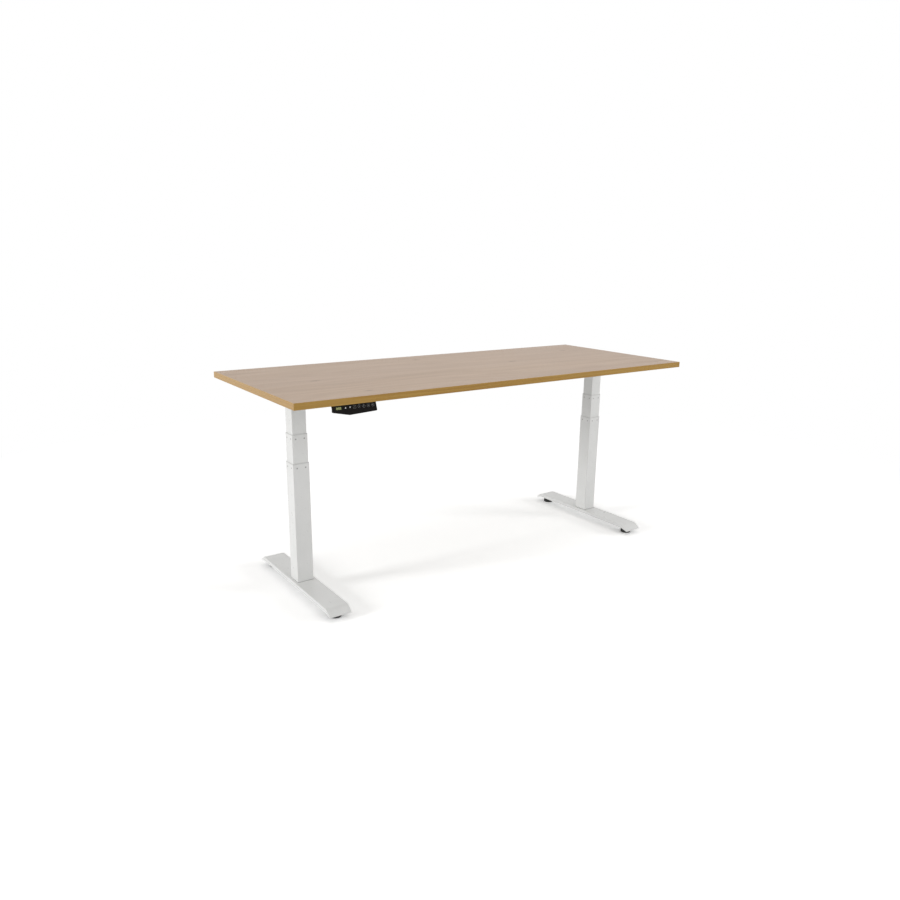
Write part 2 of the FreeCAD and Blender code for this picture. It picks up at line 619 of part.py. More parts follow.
def face_corners(inset):
    """Outline of the face: level on top, shallow at the left end and deepest left of the middle."""
    return [(HANDSET_LEFT + inset, -inset), (HANDSET_RIGHT - inset, -inset),
            (HANDSET_RIGHT + 1 - inset, -34 + inset), (HANDSET_DEEPEST_X, -FACE_DEPTH + inset),
            (HANDSET_LEFT + 2 + inset, -25 + inset)]


def face_slab(inset, z0, z1):
    corners = [V(x, y, z0) for x, y in face_corners(inset)]
    slab = Part.Face(Part.makePolygon(corners + corners[:1])).extrude(V(0, 0, z1 - z0))
    for index, radius in CORNER_ROUNDING.items():
        x, y = face_corners(inset)[index]
        edges = [edge for edge in slab.Edges
                 if all(abs(v.X - x) < 1e-3 and abs(v.Y - y) < 1e-3 for v in edge.Vertexes)]
        slab = slab.makeFillet(radius, edges)
    return slab


def key_spots():
    return {name: (KEY_FIRST_X + KEY_PITCH * k, -FACE_ROW) for k, name in enumerate(KEY_NAMES)}


def display_block(margin, z0, z1):
    half_x, half_y = DISPLAY_WIDTH / 2 + margin, DISPLAY_HEIGHT / 2 + margin / 2
    return box(DISPLAY_X - half_x, DISPLAY_X + half_x, -FACE_ROW - half_y, -FACE_ROW + half_y, z0, z1)


def handset_face():
    plate = face_slab(0, -FACE_PLATE, 0)
    tools = [post(KEY_RADIUS + 0.2, x, y, -FACE_PLATE - 1, 1) for x, y in key_spots().values()]
    tools.append(display_block(0, -FACE_PLATE - 1, 1))
    return on_face(cut(plate, tools))


def handset_display():
    """Window in the face and the display module behind it."""
    window = display_block(0, -FACE_PLATE, -0.1)
    return on_face(fuse([window, display_block(1, -7.4, -FACE_PLATE)]))


def handset_key(name):
    """Round key: its cap stands a little proud of the face, and a flange keeps it behind the face."""
    x, y = key_spots()[name]
    cap = post(KEY_RADIUS, x, y, -2.4, KEY_PROUD)
    cap = cap.makeFillet(0.3, [edge for edge in cap.Edges if edge.Curve.TypeId == "Part::GeomCircle"
                               and edge.CenterOfMass.z > 0])
    flange = post(KEY_RADIUS + 0.8, x, y, -2.4, -FACE_PLATE - 0.1)
    stem = post(2, x, y, -6.2, -2)
    return on_face(fuse([cap, flange, stem]))


def handset_board():
    return on_face(box(HANDSET_LEFT + 11, HANDSET_RIGHT - 11, -FACE_ROW - 8, -FACE_ROW + 7.5, -9, -7.4))


def housing_wedge(rise):
    """Keeps what lies above the housing's underside, which climbs towards the back."""
    back = FACE_TOP_Y + HANDSET_DEPTH
    front = FACE_TOP_Y - 20
    outline = [(front, UNDERSIDE), (back - rise, UNDERSIDE), (back - rise, UNDERSIDE - 14 + rise),
               (FACE_TOP_Y + 8, UNDERSIDE - FACE_DEPTH + rise), (front, UNDERSIDE - FACE_DEPTH - 4),
               (front, UNDERSIDE)]
    left, right = HANDSET_LEFT - 5, HANDSET_RIGHT + 5
    return Part.Face(Part.makePolygon([V(left, y, z) for y, z in outline])).extrude(V(right - left, 0, 0))


def housing_plan(inset):
    """Keeps what lies between the housing's ends, which draw in towards the back."""
    front, back = FACE_TOP_Y - 20, FACE_TOP_Y + HANDSET_DEPTH + 5
    left, right = HANDSET_LEFT - 1 + inset, HANDSET_RIGHT + 2 - inset
    outline = [(left, front), (right, front), (right, HANDSET_TAPER_Y), (right - HANDSET_TAPER, back),
               (left + HANDSET_TAPER, back), (left, HANDSET_TAPER_Y), (left, front)]
    low = UNDERSIDE - 50
    return Part.Face(Part.makePolygon([V(x, y, low) for x, y in outline])).extrude(V(0, 0, 60))


def behind_face(inset):
    """The face's outline carried straight back under the tabletop."""
    slab = on_face(face_slab(inset, -FACE_PLATE - 0.01, -FACE_PLATE))
    front = max(slab.Faces, key=lambda face: face.CenterOfMass.dot(V(0, -1, 0)) if face.Area > 500 else -1e9)
    return front.extrude(V(0, HANDSET_DEPTH + 20, 0))


def housing_block(inset):
    return behind_face(inset).common(housing_wedge(inset)).common(housing_plan(inset))


def handset_housing():
    back = FACE_TOP_Y + HANDSET_DEPTH
    socket = box(*LEAD_SOCKET_X, back - 4, back + 1, UNDERSIDE - 12, UNDERSIDE - 4)
    return cut(housing_block(0), [housing_block(HANDSET_WALL), socket])


def glide_name(side_name, front):
    return "glide_" + ("front" if front < 0 else "back") + "_" + side_name


def all_nodes():
    nodes = {}
    for name, side in SIDES.items():
        nodes["foot_" + name] = foot(side)
        nodes["outer_tube_" + name] = outer_tube(side)
        nodes["outer_bush_" + name] = guide_bush(side, OUTER_SIZE, OUTER_CORNER, MIDDLE_SIZE, MIDDLE_CORNER,
                                                 OUTER_RIM_Z)
        nodes["lift_screw_" + name] = lift_screw(side)
        nodes["middle_tube_" + name] = middle_tube(side)
        nodes["middle_bush_" + name] = guide_bush(side, MIDDLE_SIZE, MIDDLE_CORNER, INNER_SIZE, INNER_CORNER,
                                                  MIDDLE_RIM_Z)
        nodes["nut_tube_" + name] = nut_tube(side)
        nodes["upper_nut_" + name] = upper_nut(side)
        nodes["drive_sleeve_" + name] = drive_sleeve(side)
        nodes["spindle_" + name] = spindle(side)
        nodes["inner_tube_" + name] = inner_tube(side)
        nodes["gearbox_" + name] = gearbox(side)
        nodes["motor_" + name] = motor(side)
        nodes["side_arm_" + name] = side_arm(side)
        nodes["rail_bracket_" + name] = rail_bracket(side)
        for front in (-1, 1):
            nodes[glide_name(name, front)] = glide(side, front)
    nodes["foot_bolts"] = foot_bolts()
    nodes["glide_nuts"] = glide_nuts()
    nodes["head_screws"] = head_screws()
    nodes["frame_bolts"] = frame_bolts()
    nodes["rail_front"] = rail(-RAIL_Y)
    nodes["rail_back"] = rail(RAIL_Y)
    nodes["tabletop_core"] = tabletop_core()
    nodes["tabletop_laminate"] = tabletop_laminate()
    nodes["tabletop_backer"] = tabletop_backer()
    nodes["edge_band"] = edge_band()
    nodes["tabletop_screws"] = tabletop_screws()
    nodes["control_box_case"] = control_box_case()
    nodes["control_box_cover"] = control_box_cover()
    nodes["control_board"] = control_board()
    nodes["mains_inlet"] = mains_inlet()
    nodes["handset_housing"] = handset_housing()
    nodes["handset_face"] = handset_face()
    nodes["handset_display"] = handset_display()
    nodes["handset_board"] = handset_board()
    for name in KEY_NAMES:
        nodes["key_" + name] = handset_key(name)
    return nodes


os.makedirs("parts", exist_ok=True)
for node_name, shape in all_nodes().items():
    shape.exportStep("parts/" + node_name + ".step")
    print(node_name, shape.isValid(), len(shape.Solids), round(shape.Volume / 1000, 2), "cm3")
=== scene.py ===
import json
import math

import bmesh
import bpy
from mathutils import Matrix, Vector

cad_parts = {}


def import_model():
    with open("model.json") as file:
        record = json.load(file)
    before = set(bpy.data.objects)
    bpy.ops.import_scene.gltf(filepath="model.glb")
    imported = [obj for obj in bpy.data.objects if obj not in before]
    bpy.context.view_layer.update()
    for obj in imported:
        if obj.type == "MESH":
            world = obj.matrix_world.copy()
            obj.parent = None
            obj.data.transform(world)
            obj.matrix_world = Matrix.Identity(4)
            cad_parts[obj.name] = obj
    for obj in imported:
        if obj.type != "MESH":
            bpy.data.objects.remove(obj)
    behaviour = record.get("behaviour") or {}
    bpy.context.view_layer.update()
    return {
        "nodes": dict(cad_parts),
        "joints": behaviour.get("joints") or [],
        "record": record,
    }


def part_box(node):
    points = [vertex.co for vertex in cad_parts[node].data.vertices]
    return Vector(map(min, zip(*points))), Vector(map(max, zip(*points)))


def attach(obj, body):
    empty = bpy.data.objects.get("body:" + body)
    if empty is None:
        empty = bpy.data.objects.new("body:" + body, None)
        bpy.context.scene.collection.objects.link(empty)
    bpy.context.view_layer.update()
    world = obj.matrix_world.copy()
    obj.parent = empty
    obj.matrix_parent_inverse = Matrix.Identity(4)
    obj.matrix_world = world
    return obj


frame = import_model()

NODES = frame["nodes"]
MM = 0.001
BAND = 0.002

CAMERA_PLACE = (-1.9963, -2.7060, 1.3642)
CAMERA_AZIMUTH, CAMERA_ELEVATION, CAMERA_ROLL = math.radians(-36.464), math.radians(15.047), math.radians(1.017)
CAMERA_LENS = 30.007
CAMERA_SHIFT = (-0.0155, 0.0047)

AMBIENT = 0.53
LAMPS = {
    # name: (place, target, width, height, level)
    "left_softbox": ((-12.0, 1.9, 3.6), (0, 0, 0.4), 2.8, 3.4, 0.40),
    "right_softbox": ((8.2, -6.4, 2.7), (0, 0, 0.4), 3.0, 4.4, 0.33),
    "top_softbox": ((0.2, -0.3, 3.6), (0, 0, 0.9), 2.4, 2.4, 0.26),
}

FLOOR_REACH = 9.0
FLOOR_GRAY = 0.67
FLOOR_LIFT = 0.085
FLOOR_BOUNCE = 0.8
FADE_START, FADE_END = 2.2, 3.4


# ---------------------------------------------------------------- camera, floor and light

def camera():
    """Camera at the front left of the desk, looking slightly down."""
    back = Vector((0, -math.cos(CAMERA_ELEVATION), math.sin(CAMERA_ELEVATION)))
    back.rotate(Matrix.Rotation(CAMERA_AZIMUTH, 3, "Z"))
    level_right = Vector((0, 0, 1)).cross(back).normalized()
    level_up = back.cross(level_right)
    right = math.cos(CAMERA_ROLL) * level_right + math.sin(CAMERA_ROLL) * level_up
    up = math.cos(CAMERA_ROLL) * level_up - math.sin(CAMERA_ROLL) * level_right
    data = bpy.data.cameras.new("camera")
    data.sensor_width = 36.0
    data.lens = CAMERA_LENS
    data.shift_x, data.shift_y = CAMERA_SHIFT
    data.clip_end = 60.0
    made = bpy.data.objects.new("camera", data)
    made.matrix_world = Matrix.LocRotScale(Vector(CAMERA_PLACE), Matrix((right, up, back)).transposed(), None)
    bpy.context.scene.collection.objects.link(made)
    bpy.context.scene.camera = made


def seen_directly(tree):
    """1 for camera, glossy and transmission rays, 0 for the rest."""
    path = tree.nodes.new("ShaderNodeLightPath")
    joined = path.outputs["Is Camera Ray"]
    for other in ("Is Glossy Ray", "Is Transmission Ray"):
        add = tree.nodes.new("ShaderNodeMath")
        add.operation = "MAXIMUM"
        tree.links.new(joined, add.inputs[0])
        tree.links.new(path.outputs[other], add.inputs[1])
        joined = add.outputs[0]
    return joined


def world():
    """White where it is seen, and a plain, very slightly warm ambient light."""
    made = bpy.data.worlds.new("studio")
    bpy.context.scene.world = made
    made.use_nodes = True
    tree = made.node_tree
    lit = tree.nodes["Background"]
    lit.inputs["Color"].default_value = (1.0, 0.995, 0.985, 1)
    lit.inputs["Strength"].default_value = AMBIENT
    seen = tree.nodes.new("ShaderNodeBackground")
    seen.inputs["Color"].default_value = (1, 1, 1, 1)
    mix = tree.nodes.new("ShaderNodeMixShader")
    tree.links.new(seen_directly(tree), mix.inputs[0])
    tree.links.new(lit.outputs[0], mix.inputs[1])
    tree.links.new(seen.outputs[0], mix.inputs[2])
    tree.links.new(mix.outputs[0], tree.nodes["World Output"].inputs["Surface"])


def softbox(name, location, target, width, height, level):
    """Soft lamp that lights a surface facing it at target to level times its own colour, and isn't mirrored."""
    data = bpy.data.lights.new(name, "AREA")
    data.shape = "RECTANGLE"
    data.size, data.size_y = width, height
    away = Vector(location) - Vector(target)
    data.energy = level * math.pi ** 2 * away.length_squared
    made = bpy.data.objects.new(name, data)
    made.location = location
    made.rotation_mode = "QUATERNION"
    made.rotation_quaternion = away.to_track_quat("Z", "Y")
    made.visible_glossy = False
    bpy.context.scene.collection.objects.link(made)


def floor():
    """White floor that keeps the desk's shadow, fades into the white round it and is clear from below."""
    bm = bmesh.new()
    bmesh.ops.create_grid(bm, x_segments=8, y_segments=8, size=FLOOR_REACH)
    mesh = bpy.data.meshes.new("floor")
    bm.to_mesh(mesh)
    bm.free()
    made = bpy.data.objects.new("floor", mesh)
    bpy.context.scene.collection.objects.link(made)
    finish = Finish("studio_floor", 0.8)
    finish.set("Base Color", (FLOOR_BOUNCE, FLOOR_BOUNCE, FLOOR_BOUNCE, 1))
    finish.set("Specular IOR Level", 0.0)
    half_shadowed = finish.add("BsdfDiffuse", Color=(FLOOR_GRAY, FLOOR_GRAY, FLOOR_GRAY, 1))
    shadowed = finish.add("AddShader")
    finish.join(half_shadowed.outputs[0], shadowed.inputs[0])
    finish.join(half_shadowed.outputs[0], shadowed.inputs[1])
    glow = finish.add("Emission", Color=(1, 1, 1, 1), Strength=FLOOR_LIFT)
    shown = finish.add("AddShader")
    finish.join(shadowed.outputs[0], shown.inputs[0])
    finish.join(glow.outputs[0], shown.inputs[1])
    white = finish.add("Emission", Color=(1, 1, 1, 1), Strength=1.0)
    reach = finish.add("VectorMath", operation="LENGTH")
    finish.join(finish.place, reach.inputs[0])
    far = finish.remap(reach.outputs["Value"], FADE_START, FADE_END, 0, 1)
    faded = finish.add("MixShader")
    finish.join(far, faded.inputs[0])
    finish.join(shown.outputs[0], faded.inputs[1])
    finish.join(white.outputs[0], faded.inputs[2])
    chosen = finish.add("MixShader")
    finish.join(seen_directly(finish.tree), chosen.inputs[0])
    finish.join(finish.shader.outputs[0], chosen.inputs[1])
    finish.join(faded.outputs[0], chosen.inputs[2])
    from_below = finish.add("MixShader")
    finish.join(finish.add("NewGeometry").outputs["Backfacing"], from_below.inputs[0])
    finish.join(chosen.outputs[0], from_below.inputs[1])
    finish.join(finish.add("BsdfTransparent").outputs[0], from_below.inputs[2])
    finish.join(from_below.outputs[0], finish.tree.nodes["Material Output"].inputs["Surface"])
    mesh.materials.append(finish.material)


# ---------------------------------------------------------------- finishes

class Finish:
    """Procedural material on one Principled shader. Its textures are laid out in metres in the desk's frame."""

    def __init__(self, name, roughness, metallic=0.0):
        self.material = bpy.data.materials.new(name)
        self.material.use_nodes = True
        self.tree = self.material.node_tree
        self.shader = self.tree.nodes["Principled BSDF"]
        self.shader.inputs["Roughness"].default_value = roughness
        self.shader.inputs["Metallic"].default_value = metallic
        self.place = self.add("TexCoord").outputs["Object"]

    def join(self, output, socket):
        self.tree.links.new(output, socket)

    def add(self, kind, operation=None, **values):
        node = self.tree.nodes.new("ShaderNode" + kind)
        if operation:
            node.operation = operation
        for name, value in values.items():
            self.feed(node.inputs[name.replace("_", " ")], value)
        return node

    def feed(self, socket, value):
        if isinstance(value, bpy.types.NodeSocket):
            self.join(value, socket)
        else:
            socket.default_value = value

    def stretched(self, x, y, z, source=None):
        node = self.add("Mapping", Scale=(x, y, z))
        self.join(source or self.place, node.inputs["Vector"])
        return node.outputs["Vector"]

    def noise(self, vector, scale=1.0, detail=2.0, roughness=0.5, distortion=0.0):
        node = self.add("TexNoise", Vector=vector, Scale=scale, Detail=detail, Roughness=roughness,
                        Distortion=distortion)
        return node.outputs["Fac"]

    def cells(self, vector, scale=1.0, feature="F1"):
        node = self.add("TexVoronoi", Vector=vector, Scale=scale)
        node.feature = feature
        return node

    def remap(self, value, low, high, to_low, to_high):
        node = self.add("MapRange", Value=value, From_Min=low, From_Max=high, To_Min=to_low, To_Max=to_high)
        return node.outputs["Result"]

    def math(self, operation, first, second=0.0):
        node = self.add("Math", operation)
        self.feed(node.inputs[0], first)
        self.feed(node.inputs[1], second)
        return node.outputs[0]

    def ramp(self, factor, stops):
        node = self.add("ValToRGB", Fac=factor)
        elements = node.color_ramp.elements
        while len(elements) < len(stops):
            elements.new(0.5)
        for element, (position, color) in zip(elements, stops):
            element.position = position
            element.color = (*color, 1)
        return node.outputs["Color"]

    def mix(self, factor, first, second, mode="MIX"):
        node = self.add("Mix")
        node.data_type = "RGBA"
        node.blend_type = mode
        self.feed(node.inputs[0], factor)
        for socket, value in ((node.inputs[6], first), (node.inputs[7], second)):
            self.feed(socket, value if isinstance(value, bpy.types.NodeSocket) else (*value, 1))
        return node.outputs[2]

    def split(self, vector):
        node = self.add("SeparateXYZ", Vector=vector)
        return node.outputs

    def together(self, x, y, z):
        node = self.add("CombineXYZ")
        for socket, value in zip(node.inputs, (x, y, z)):
            self.feed(socket, value)
        return node.outputs[0]

    def set(self, name, value):
        self.feed(self.shader.inputs[name], value)

    def bump(self, height, distance, strength=1.0):
        node = self.add("Bump", Height=height, Distance=distance, Strength=strength)
        self.join(node.outputs[0], self.shader.inputs["Normal"])


def powder_coat():
    """Satin white powder coat: slight orange peel, faint mottling and a little unevenness in the gloss."""
    finish = Finish("white_powder_coat", 0.30)
    peel = finish.noise(finish.place, 420, 3, 0.55)
    cloud = finish.noise(finish.place, 9, 3)
    color = finish.ramp(cloud, [(0.3, (0.775, 0.778, 0.768)), (0.7, (0.81, 0.812, 0.803))])
    speck = finish.noise(finish.place, 1500, 1)
    color = finish.mix(finish.remap(speck, 0.66, 0.74, 0, 0.16), color, (0.62, 0.62, 0.61))
    finish.set("Base Color", color)
    finish.set("Roughness", finish.remap(finish.noise(finish.place, 60, 3), 0.3, 0.7, 0.27, 0.34))
    finish.bump(peel, 0.000008)
    return finish.material


def nylon(name, dark, light):
    """Moulded nylon with flow marks and a fine spark texture."""
    finish = Finish(name, 0.5)
    flow = finish.noise(finish.stretched(30, 30, 90), 1, 3, 0.5, 0.6)
    finish.set("Base Color", finish.ramp(flow, [(0.3, dark), (0.7, light)]))
    finish.set("Roughness", finish.remap(flow, 0.3, 0.7, 0.42, 0.56))
    finish.bump(finish.noise(finish.place, 1800, 2), 0.00004)
    return finish.material


def bush_nylon():
    """Light nylon rims, with the pegs below them coloured a darker grey as painted shade for their recesses."""
    finish = Finish("white_nylon", 0.5)
    lower_rim = max(corner.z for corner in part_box("outer_bush_left"))
    upper_rim = max(corner.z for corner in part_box("middle_bush_left"))
    height = finish.split(finish.place)[2]
    upper = finish.math("GREATER_THAN", height, lower_rim + 0.0005)
    rim = finish.math("ADD", finish.math("MULTIPLY", upper, upper_rim - lower_rim), lower_rim)
    below = finish.math("SUBTRACT", rim, height)
    flow = finish.noise(finish.stretched(30, 30, 90), 1, 3, 0.5, 0.6)
    pale = finish.ramp(flow, [(0.3, (0.66, 0.665, 0.655)), (0.7, (0.72, 0.725, 0.715))])
    # painted shade: the darker grey for the pegs below the rims stands in for their shade
    dark = finish.ramp(flow, [(0.3, (0.34, 0.34, 0.33)), (0.7, (0.42, 0.42, 0.41))])
    # painted shade mask: darker from about 4 mm below each rim
    finish.set("Base Color", finish.mix(finish.remap(below, 0.0035, 0.0045, 0, 1), pale, dark))
    finish.set("Roughness", finish.remap(flow, 0.3, 0.7, 0.42, 0.56))
    finish.bump(finish.noise(finish.place, 1800, 2), 0.00004)
    return finish.material


def machined_steel(name, dark, light, pitch):
    """Bright steel with thread or turning grooves round the upright axis, and an oily film."""
    finish = Finish(name, 0.28, 1.0)
    film = finish.noise(finish.place, 40, 4, 0.6)
    finish.set("Base Color", finish.ramp(film, [(0.3, dark), (0.7, light)]))
    finish.set("Roughness", finish.remap(film, 0.3, 0.7, 0.22, 0.4))
    height = finish.split(finish.place)[2]
    groove = finish.math("SINE", finish.math("MULTIPLY", height, 2 * math.pi / pitch))
    scratches = finish.noise(finish.stretched(300, 300, 5000), 1, 2)
    finish.bump(finish.math("ADD", groove, scratches), 0.0004)
    return finish.material


def zinc():
    """Zinc plating: bluish steel with a fine spangle and worn, paler high spots."""
    finish = Finish("zinc_steel", 0.36, 1.0)
    spangle = finish.cells(finish.place, 900).outputs["Color"]
    grey = finish.split(spangle)[0]
    color = finish.ramp(grey, [(0.0, (0.58, 0.60, 0.63)), (1.0, (0.74, 0.75, 0.76))])
    worn = finish.noise(finish.place, 160, 4, 0.6)
    finish.set("Base Color", finish.mix(finish.remap(worn, 0.55, 0.7, 0, 0.5), color, (0.8, 0.8, 0.78)))
    finish.set("Roughness", finish.remap(worn, 0.3, 0.7, 0.28, 0.46))
    finish.bump(finish.noise(finish.place, 1200, 3), 0.00005)
    return finish.material


def cast_aluminium():
    """As-cast aluminium, grainy and slightly blotched."""
    finish = Finish("cast_aluminium", 0.5, 1.0)
    blotch = finish.noise(finish.place, 55, 4, 0.6)
    finish.set("Base Color", finish.ramp(blotch, [(0.3, (0.56, 0.57, 0.58)), (0.7, (0.72, 0.73, 0.74))]))
    finish.set("Roughness", finish.remap(blotch, 0.3, 0.7, 0.42, 0.6))
    finish.bump(finish.noise(finish.place, 700, 4, 0.65), 0.00025)
    return finish.material


def dark_plastic(name, dark, light, rough, grain, depth, shine):
    """Black moulded plastic or enamel with its grain and a faint variation in tone and gloss."""
    finish = Finish(name, rough)
    cloud = finish.noise(finish.place, 70, 4, 0.6)
    finish.set("Base Color", finish.ramp(cloud, [(0.3, dark), (0.7, light)]))
    finish.set("Roughness", finish.remap(cloud, 0.3, 0.7, rough - 0.06, rough + 0.06))
    finish.set("Specular IOR Level", shine)
    finish.bump(finish.noise(finish.place, grain, 2, 0.6), depth)
    return finish.material


def board_chips():
    """Cut face of particle board: chips of many tones with dark gaps."""
    finish = Finish("particle_board", 0.85)
    chips = finish.cells(finish.stretched(260, 260, 500))
    tone = finish.split(chips.outputs["Color"])[0]
    color = finish.ramp(tone, [(0.0, (0.36, 0.25, 0.15)), (0.6, (0.56, 0.42, 0.28)), (1.0, (0.70, 0.57, 0.41))])
    gap = finish.remap(chips.outputs["Distance"], 0.5, 0.9, 0, 0.6)
    finish.set("Base Color", finish.mix(gap, color, (0.2, 0.13, 0.08)))
    finish.bump(chips.outputs["Distance"], -0.0004)
    return finish.material


def melamine_backing():
    """Pale grey melamine sheet under the board, with a faint fibre mottle."""
    finish = Finish("grey_backing", 0.5)
    fibre = finish.noise(finish.stretched(60, 260, 60), 1, 5, 0.65)
    finish.set("Base Color", finish.ramp(fibre, [(0.3, (0.66, 0.64, 0.60)), (0.7, (0.74, 0.72, 0.68))]))
    finish.set("Roughness", finish.remap(fibre, 0.3, 0.7, 0.45, 0.56))
    finish.bump(finish.noise(finish.place, 900, 3), 0.00005)
    return finish.material


def grain_lines(finish, along, across):
    """Growth-ring lines, long streaks and open pores of oak. along and across are lengths in metres."""
    plane = finish.together(along, across, 0.0)
    warp = finish.noise(finish.stretched(0.9, 4.0, 1, plane), 1, 2)
    bent = finish.math("ADD", across, finish.remap(warp, 0, 1, -0.025, 0.025))
    wood = finish.together(along, bent, 0.0)
    figure = finish.noise(finish.stretched(0.45, 3.4, 1, wood), 1, 2)
    rings = finish.math("SINE", finish.math("MULTIPLY", figure, 88.0))
    broad = finish.noise(finish.stretched(0.8, 16, 1, wood), 1, 3, 0.55)
    streak = finish.noise(finish.stretched(2.6, 150, 1, wood), 1, 4, 0.6)
    pore = finish.noise(finish.stretched(42, 1500, 1, wood), 1, 2, 0.5)
    return rings, broad, streak, pore


def oak_laminate():
    """Grey-tan oak print with its grain along the desk, open pores, a few small knots and a matt sheen."""
    finish = Finish("oak_laminate", 0.42)
    x, y = finish.split(finish.place)[:2]
    rings, broad, streak, pore = grain_lines(finish, x, y)
    tone = finish.math("ADD", finish.remap(broad, 0.25, 0.75, 0, 0.5), finish.remap(streak, 0.3, 0.7, 0, 0.35))
    tone = finish.math("ADD", tone, finish.remap(rings, -1, 1, 0, 0.15))
    color = finish.ramp(tone, [(0.1, (0.350, 0.236, 0.152)), (0.5, (0.438, 0.311, 0.216)),
                               (0.9, (0.506, 0.373, 0.275))])
    shift = finish.noise(finish.stretched(0.5, 2.6, 1), 1, 2)
    color = finish.mix(finish.remap(shift, 0.4, 0.65, 0, 0.35), color, (0.418, 0.309, 0.242))
    pores = finish.remap(pore, 0.60, 0.70, 0, 0.55)
    color = finish.mix(pores, color, (0.215, 0.135, 0.080))
    knots = finish.cells(finish.stretched(2.1, 5.2, 1), 1).outputs["Distance"]
    color = finish.mix(finish.remap(knots, 0.022, 0.06, 0.6, 0), color, (0.16, 0.095, 0.055))
    finish.set("Base Color", color)
    finish.set("Roughness", finish.remap(streak, 0.3, 0.7, 0.38, 0.50))
    finish.bump(finish.math("SUBTRACT", finish.remap(streak, 0.3, 0.7, 0, 0.3), pores), 0.00008)
    return finish.material


def oak_edge():
    """Golden oak edge band: grain along each strip, and paler strips on the two ends."""
    finish = Finish("oak_edge", 0.40)
    x, y, z = finish.split(finish.place)
    half = max(abs(corner.x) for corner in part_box("edge_band"))
    at_end = finish.remap(finish.math("ABSOLUTE", x), half - 1.1 * BAND, half - 0.9 * BAND, 0, 1)
    along = finish.add("Mix")
    finish.feed(along.inputs[0], at_end)
    finish.join(x, along.inputs[2])
    finish.join(y, along.inputs[3])
    broad, streak, pore = grain_lines(finish, along.outputs[0], z)[1:]
    tone = finish.math("ADD", finish.remap(broad, 0.25, 0.75, 0, 0.4), finish.remap(streak, 0.3, 0.7, 0, 0.6))
    front = finish.ramp(tone, [(0.1, (0.322, 0.162, 0.022)), (0.5, (0.398, 0.219, 0.036)),
                               (0.9, (0.452, 0.272, 0.058))])
    ends = finish.ramp(tone, [(0.1, (0.407, 0.237, 0.070)), (0.5, (0.476, 0.291, 0.103)),
                              (0.9, (0.530, 0.342, 0.140))])
    color = finish.mix(at_end, front, ends)
    pores = finish.remap(pore, 0.60, 0.70, 0, 0.5)
    finish.set("Base Color", finish.mix(pores, color, (0.21, 0.105, 0.024)))
    finish.set("Roughness", finish.remap(streak, 0.3, 0.7, 0.35, 0.48))
    finish.bump(finish.math("SUBTRACT", finish.remap(streak, 0.3, 0.7, 0, 0.3), pores), 0.00006)
    return finish.material


def circuit_board():
    """Green solder mask with copper tracks."""
    finish = Finish("circuit_board", 0.35)
    track = finish.cells(finish.stretched(220, 220, 1), 1, "DISTANCE_TO_EDGE").outputs["Distance"]
    green = finish.mix(finish.remap(track, 0.04, 0.08, 1, 0), (0.02, 0.13, 0.05), (0.06, 0.26, 0.10))
    finish.set("Base Color", green)
    finish.set("Roughness", finish.remap(finish.noise(finish.place, 200, 3), 0.3, 0.7, 0.28, 0.42))
    finish.bump(track, 0.0001)
    return finish.material


def print_ink(name, dark, light):
    """Screen-printed ink, slightly uneven."""
    finish = Finish(name, 0.45)
    cover = finish.noise(finish.place, 2200, 3, 0.6)
    finish.set("Base Color", finish.ramp(cover, [(0.3, (dark, dark, dark)), (0.6, (light, light, light))]))
    finish.bump(cover, 0.00001)
    return finish.material


def led_light():
    """Lit yellow-green segment, unevenly bright."""
    finish = Finish("led_segment", 0.4)
    uneven = finish.noise(finish.place, 700, 2)
    color = finish.ramp(uneven, [(0.3, (0.42, 0.44, 0.20)), (0.7, (0.52, 0.54, 0.28))])
    finish.set("Base Color", (0.2, 0.22, 0.05, 1))
    finish.set("Emission Color", color)
    finish.set("Emission Strength", 0.62)
    return finish.material


DARK_PLASTICS = {
    # name: (dark, light, roughness, grain, depth, shine)
    "black_motor_paint": ((0.018, 0.018, 0.02), (0.035, 0.035, 0.038), 0.3, 500, 0.0001, 0.5),
    "black_glide_plastic": ((0.012, 0.012, 0.012), (0.026, 0.026, 0.026), 0.6, 1400, 0.0001, 0.5),
    "black_box_plastic": ((0.014, 0.014, 0.015), (0.03, 0.03, 0.031), 0.5, 1500, 0.00008, 0.5),
    "handset_black": ((0.006, 0.0045, 0.004), (0.012, 0.0095, 0.0085), 0.45, 1700, 0.00006, 0.12),
    "handset_gloss": ((0.005, 0.0035, 0.003), (0.009, 0.0068, 0.0058), 0.30, 2200, 0.00001, 0.10),
    "display_window": ((0.016, 0.018, 0.007), (0.028, 0.032, 0.012), 0.16, 1500, 0.000004, 0.14),
    "key_black": ((0.006, 0.0045, 0.004), (0.012, 0.0095, 0.0085), 0.42, 1900, 0.00003, 0.12),
}


def all_finishes():
    """Finish of each material slot that the CAD parts name."""
    finishes = {
        "white_powder_coat": powder_coat(),
        "white_nylon": bush_nylon(),
        "screw_steel": machined_steel("screw_steel", (0.50, 0.50, 0.50), (0.64, 0.64, 0.63), 0.003),
        "nut_polymer": nylon("nut_polymer", (0.78, 0.75, 0.66), (0.86, 0.84, 0.76)),
        "cast_aluminium": cast_aluminium(),
        "zinc_steel": zinc(),
        "particle_board": board_chips(),
        "oak_laminate": oak_laminate(),
        "grey_backing": melamine_backing(),
        "oak_edge": oak_edge(),
        "circuit_board": circuit_board(),
    }
    for name, setting in DARK_PLASTICS.items():
        finishes[name] = dark_plastic(name, *setting)
    return finishes


def dress_nodes():
    """Gives each CAD part its finish."""
    finishes = all_finishes()
    for part in frame["record"]["subparts"]:
        node = NODES[part["node"]]
        for slot in node.material_slots:
            slot.material = finishes[part["material_slot"]]


# ---------------------------------------------------------------- painted shade at the column seams, and prints

TUBE_CORNER = 0.003
SEAM_SUNK, SEAM_PROUD = 0.0004, 0.0005
SEAM_LIFT, SEAM_EDGE, SEAM_TOP = 0.00005, 0.0005, 0.0009


